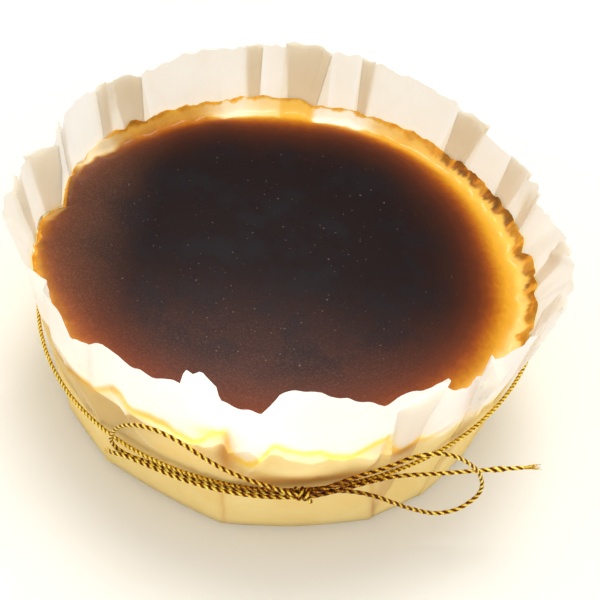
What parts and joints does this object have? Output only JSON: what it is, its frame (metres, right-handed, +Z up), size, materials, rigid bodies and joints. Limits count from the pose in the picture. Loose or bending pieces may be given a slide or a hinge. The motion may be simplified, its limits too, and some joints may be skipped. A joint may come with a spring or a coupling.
{
  "type": "basque cheesecake",
  "caption": "Uncut burnt basque cheesecake in a folded parchment paper case, tied round with a gold cord in a bow.",
  "frame": {"origin": "middle of the flat underside of the paper case", "axes": "+Z up; the bow is at the front, at about -80 degrees from +X towards +Y, so -Y faces the viewer"},
  "size_m": [0.1603, 0.1586, 0.0686],
  "materials": {
    "crust": "satin",
    "parchment": "matt, translucent",
    "gold_cord": "metallic thread"
  },
  "bodies": {
    "root": {"cake": "crust", "paper_case": "parchment", "cord_wrap": "gold_cord", "bow_knot": "gold_cord", "bow_loop_left": "gold_cord", "bow_loop_right": "gold_cord", "bow_tail_left": "gold_cord", "bow_tail_right": "gold_cord"}
  },
  "joints": []
}
